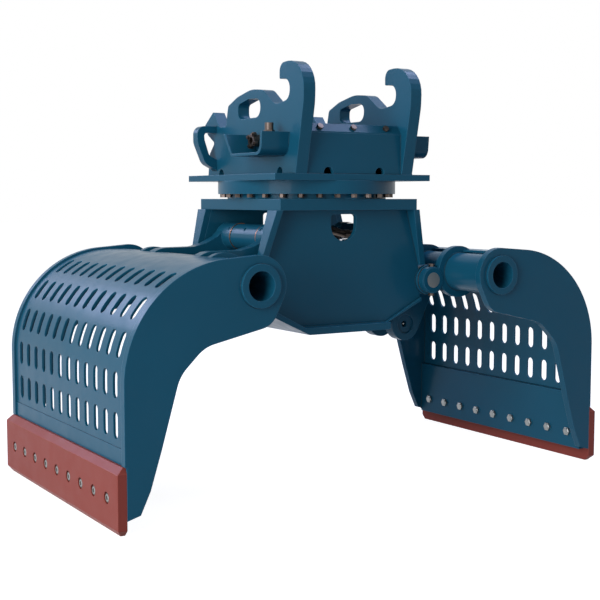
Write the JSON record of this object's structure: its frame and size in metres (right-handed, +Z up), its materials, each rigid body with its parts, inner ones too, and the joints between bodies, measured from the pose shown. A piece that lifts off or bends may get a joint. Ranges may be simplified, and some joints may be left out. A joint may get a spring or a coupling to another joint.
{
  "type": "sorting grapple",
  "caption": "Hydraulic sorting grapple with perforated clamshell jaws, bolted cutting blades, a slewing coupler hitch and a telescopic closing cylinder.",
  "frame": {"origin": "on the floor under the slewing axis, midway between the two open blades", "axes": "+X across the opening towards the right shell, +Y along the blades towards the rear, +Z up along the slewing axis"},
  "size_m": [1.912, 1.024, 1.4228],
  "materials": {
    "teal_paint": "semi-gloss",
    "red_paint": "satin",
    "bolt_steel": "satin",
    "ring_steel": "matte",
    "bronze": "satin",
    "rod_chrome": "polished"
  },
  "bodies": {
    "frame": {"frame_top_plate": "teal_paint", "side_frame_front": "teal_paint", "side_frame_rear": "teal_paint", "edge_flanges": "teal_paint", "bottom_rims": "teal_paint", "hinge_bosses": "teal_paint", "hinge_bushes": "bronze", "hinge_shims": "bronze", "bottom_beam": "teal_paint", "swivel_ring": "bolt_steel", "slew_ring_inner": "ring_steel"},
    "hitch": {"adapter_plate": "teal_paint", "hook_plate_left": "teal_paint", "hook_plate_right": "teal_paint", "swivel_housing": "teal_paint", "housing_lid": "teal_paint", "lid_bolts": "bolt_steel", "port_guards": "teal_paint", "guard_loops": "teal_paint", "port_flanges": "ring_steel", "inlet_couplings": "bolt_steel", "slew_ring_outer": "ring_steel", "slew_ring_bolts": "bolt_steel", "swivel_core": "bolt_steel"},
    "left_shell": {"sheet_left": "teal_paint", "side_plate_left_front": "teal_paint", "side_plate_left_rear": "teal_paint", "cross_tube_left": "teal_paint", "pivot_arm_left_front": "teal_paint", "pivot_arm_left_rear": "teal_paint", "cylinder_arm_left_front": "teal_paint", "cylinder_arm_left_rear": "teal_paint", "edge_plate_left": "teal_paint", "blade_left": "red_paint", "blade_bolts_left": "bolt_steel", "hinge_pins_left": "bolt_steel", "pin_locks_left": "bolt_steel", "cylinder_pin_left": "bolt_steel"},
    "right_shell": {"sheet_right": "teal_paint", "side_plate_right_front": "teal_paint", "side_plate_right_rear": "teal_paint", "cross_tube_right": "teal_paint", "pivot_arm_right_front": "teal_paint", "pivot_arm_right_rear": "teal_paint", "cylinder_arm_right_front": "teal_paint", "cylinder_arm_right_rear": "teal_paint", "edge_plate_right": "teal_paint", "blade_right": "red_paint", "blade_bolts_right": "bolt_steel", "hinge_pins_right": "bolt_steel", "pin_locks_right": "bolt_steel", "cylinder_pin_right": "bolt_steel"},
    "barrel": {"cyl_barrel": "teal_paint", "cyl_gland": "ring_steel", "barrel_bush": "bronze", "feed_pipe": "ring_steel"},
    "sleeve": {"cyl_sleeve": "rod_chrome"},
    "rod": {"cyl_rod": "rod_chrome", "rod_bush": "bronze"}
  },
  "joints": [
    {"name": "slew", "type": "hinge", "parent": "frame", "child": "hitch", "pos_m": [0, 0, 1], "axis": [0, 0, 1], "continuous": true},
    {"name": "left_shell_swing", "type": "hinge", "parent": "frame", "child": "left_shell", "pos_m": [-0.364, 0, 0.6829], "axis": [0, -1, 0], "range_deg": [0, 63.7]},
    {"name": "right_shell_swing", "type": "hinge", "parent": "frame", "child": "right_shell", "pos_m": [0.364, 0, 0.6829], "axis": [0, 1, 0], "range_deg": [0, 63.7]},
    {"name": "barrel_pivot", "type": "hinge", "parent": "left_shell", "child": "barrel", "pos_m": [-0.2185, 0, 0.8389], "axis": [0, 1, 0], "range_deg": [0, 63.7]},
    {"name": "rod_pivot", "type": "hinge", "parent": "right_shell", "child": "rod", "pos_m": [0.2185, 0, 0.8389], "axis": [0, -1, 0], "range_deg": [0, 63.7]},
    {"name": "sleeve_slide", "type": "slide", "parent": "barrel", "child": "sleeve", "axis": [1, 0, 0], "range_m": [0, 0.221]}
  ],
  "couplings": [
    {"joint": "right_shell_swing", "follows": "left_shell_swing", "ratio": 1},
    {"joint": "barrel_pivot", "follows": "left_shell_swing", "ratio": 1},
    {"joint": "rod_pivot", "follows": "left_shell_swing", "ratio": 1},
    {"joint": "sleeve_slide", "follows": "left_shell_swing", "m_per_rad": 0.1986}
  ]
}
